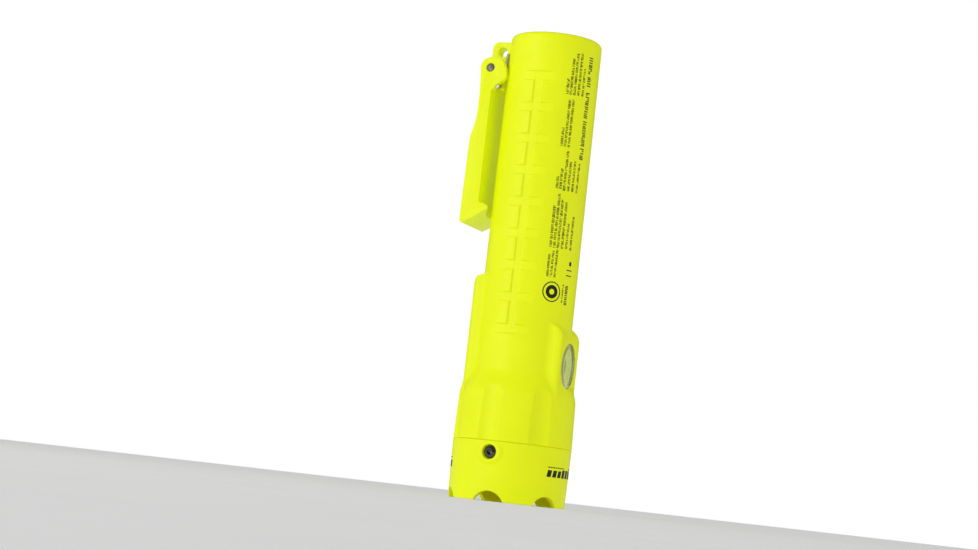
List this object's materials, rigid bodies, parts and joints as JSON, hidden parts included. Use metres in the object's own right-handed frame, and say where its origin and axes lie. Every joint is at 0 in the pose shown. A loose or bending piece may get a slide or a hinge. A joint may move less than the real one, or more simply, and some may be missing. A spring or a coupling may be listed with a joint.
{
  "type": "firefighter flashlight",
  "caption": "Hand torch in a high-visibility plastic tube, with a spot lens in a scalloped bezel ring, a flood lens in the side of the neck, push buttons and a sprung magnetic pocket clip.",
  "frame": {"origin": "middle of the bounding box at the bezel rim, on which the lamp stands head down; the axis of the round body is 2.4 mm from it towards -Y", "axes": "+Z runs along the body from the head to the tail, the flood lens looks to -Y and the clip and push buttons are on the +Y side"},
  "size_m": [0.0464, 0.0512, 0.183],
  "materials": {
    "hi_vis_plastic": "satin moulded nylon, fluorescent yellow-green",
    "black_rubber": "matt moulded rubber",
    "black_plastic": "fine matt texture",
    "black_steel": "black oxide, oiled",
    "steel": "bright drawn wire and ground pin",
    "nickel": "nickel plate",
    "aluminium": "turned",
    "mirror": "vacuum-metallised",
    "clear_plastic": "clear polished polycarbonate",
    "led": "yellow phosphor under a clear dome",
    "circuit_board": "green solder mask",
    "cell_wrap": "plain dark foil sleeve",
    "wire": "PVC insulation"
  },
  "bodies": {
    "housing": {"main_housing": "hi_vis_plastic", "bezel_ring": "hi_vis_plastic", "tail_cover": "hi_vis_plastic", "locking_screw": "black_steel", "front_lens": "clear_plastic", "flood_lens": "clear_plastic", "lens_gasket": "black_rubber", "bezel_o_ring": "black_rubber", "flood_gasket": "black_rubber", "switch_frame": "black_plastic", "spot_reflector": "mirror", "flood_reflector": "mirror", "spot_led": "led", "flood_led": "led", "spot_led_board": "circuit_board", "flood_led_board": "circuit_board", "switch_board": "circuit_board", "driver_board": "circuit_board", "driver_inductor": "black_plastic", "driver_chip": "black_plastic", "spot_tact_switch": "black_plastic", "flood_tact_switch": "black_plastic", "head_chassis": "black_plastic", "battery_carrier": "black_plastic", "heat_sink": "aluminium", "led_board_screw_1": "steel", "led_board_screw_2": "steel", "spot_led_wire_red": "wire", "spot_led_wire_black": "wire", "positive_contact_pin": "nickel", "negative_contact_pin": "nickel", "front_positive_contact": "nickel", "front_negative_contact": "nickel", "rear_contact_strip": "nickel", "front_cell_spring": "steel", "rear_cell_spring": "steel", "battery_cell_1": "cell_wrap", "battery_cell_2": "cell_wrap", "battery_cell_3": "cell_wrap", "battery_cell_4": "cell_wrap", "tail_magnet": "nickel"},
    "clip": {"clip_lever": "hi_vis_plastic", "clip_magnet": "nickel", "clip_magnet_cover": "hi_vis_plastic", "clip_hinge_pin": "steel", "clip_spring_left": "steel", "clip_spring_right": "steel"},
    "spot_switch": {"spot_button": "black_rubber"},
    "flood_switch": {"flood_button": "black_rubber"}
  },
  "joints": [
    {"name": "clip_hinge", "type": "hinge", "parent": "housing", "child": "clip", "pos_m": [0, 0.0198, 0.1688], "axis": [1, 0, 0], "range_deg": [0, 25], "stiffness_Nm_per_rad": 0.3, "springref_deg": -45.84, "deforming": ["clip_spring_left", "clip_spring_right"]},
    {"name": "spot_button_press", "type": "slide", "parent": "housing", "child": "spot_switch", "axis": [0, -1, 0], "range_m": [0, 0.001], "stiffness_N_per_m": 1500, "springref_m": -0.001},
    {"name": "flood_button_press", "type": "slide", "parent": "housing", "child": "flood_switch", "axis": [0, -1, 0], "range_m": [0, 0.001], "stiffness_N_per_m": 1500, "springref_m": -0.001}
  ]
}
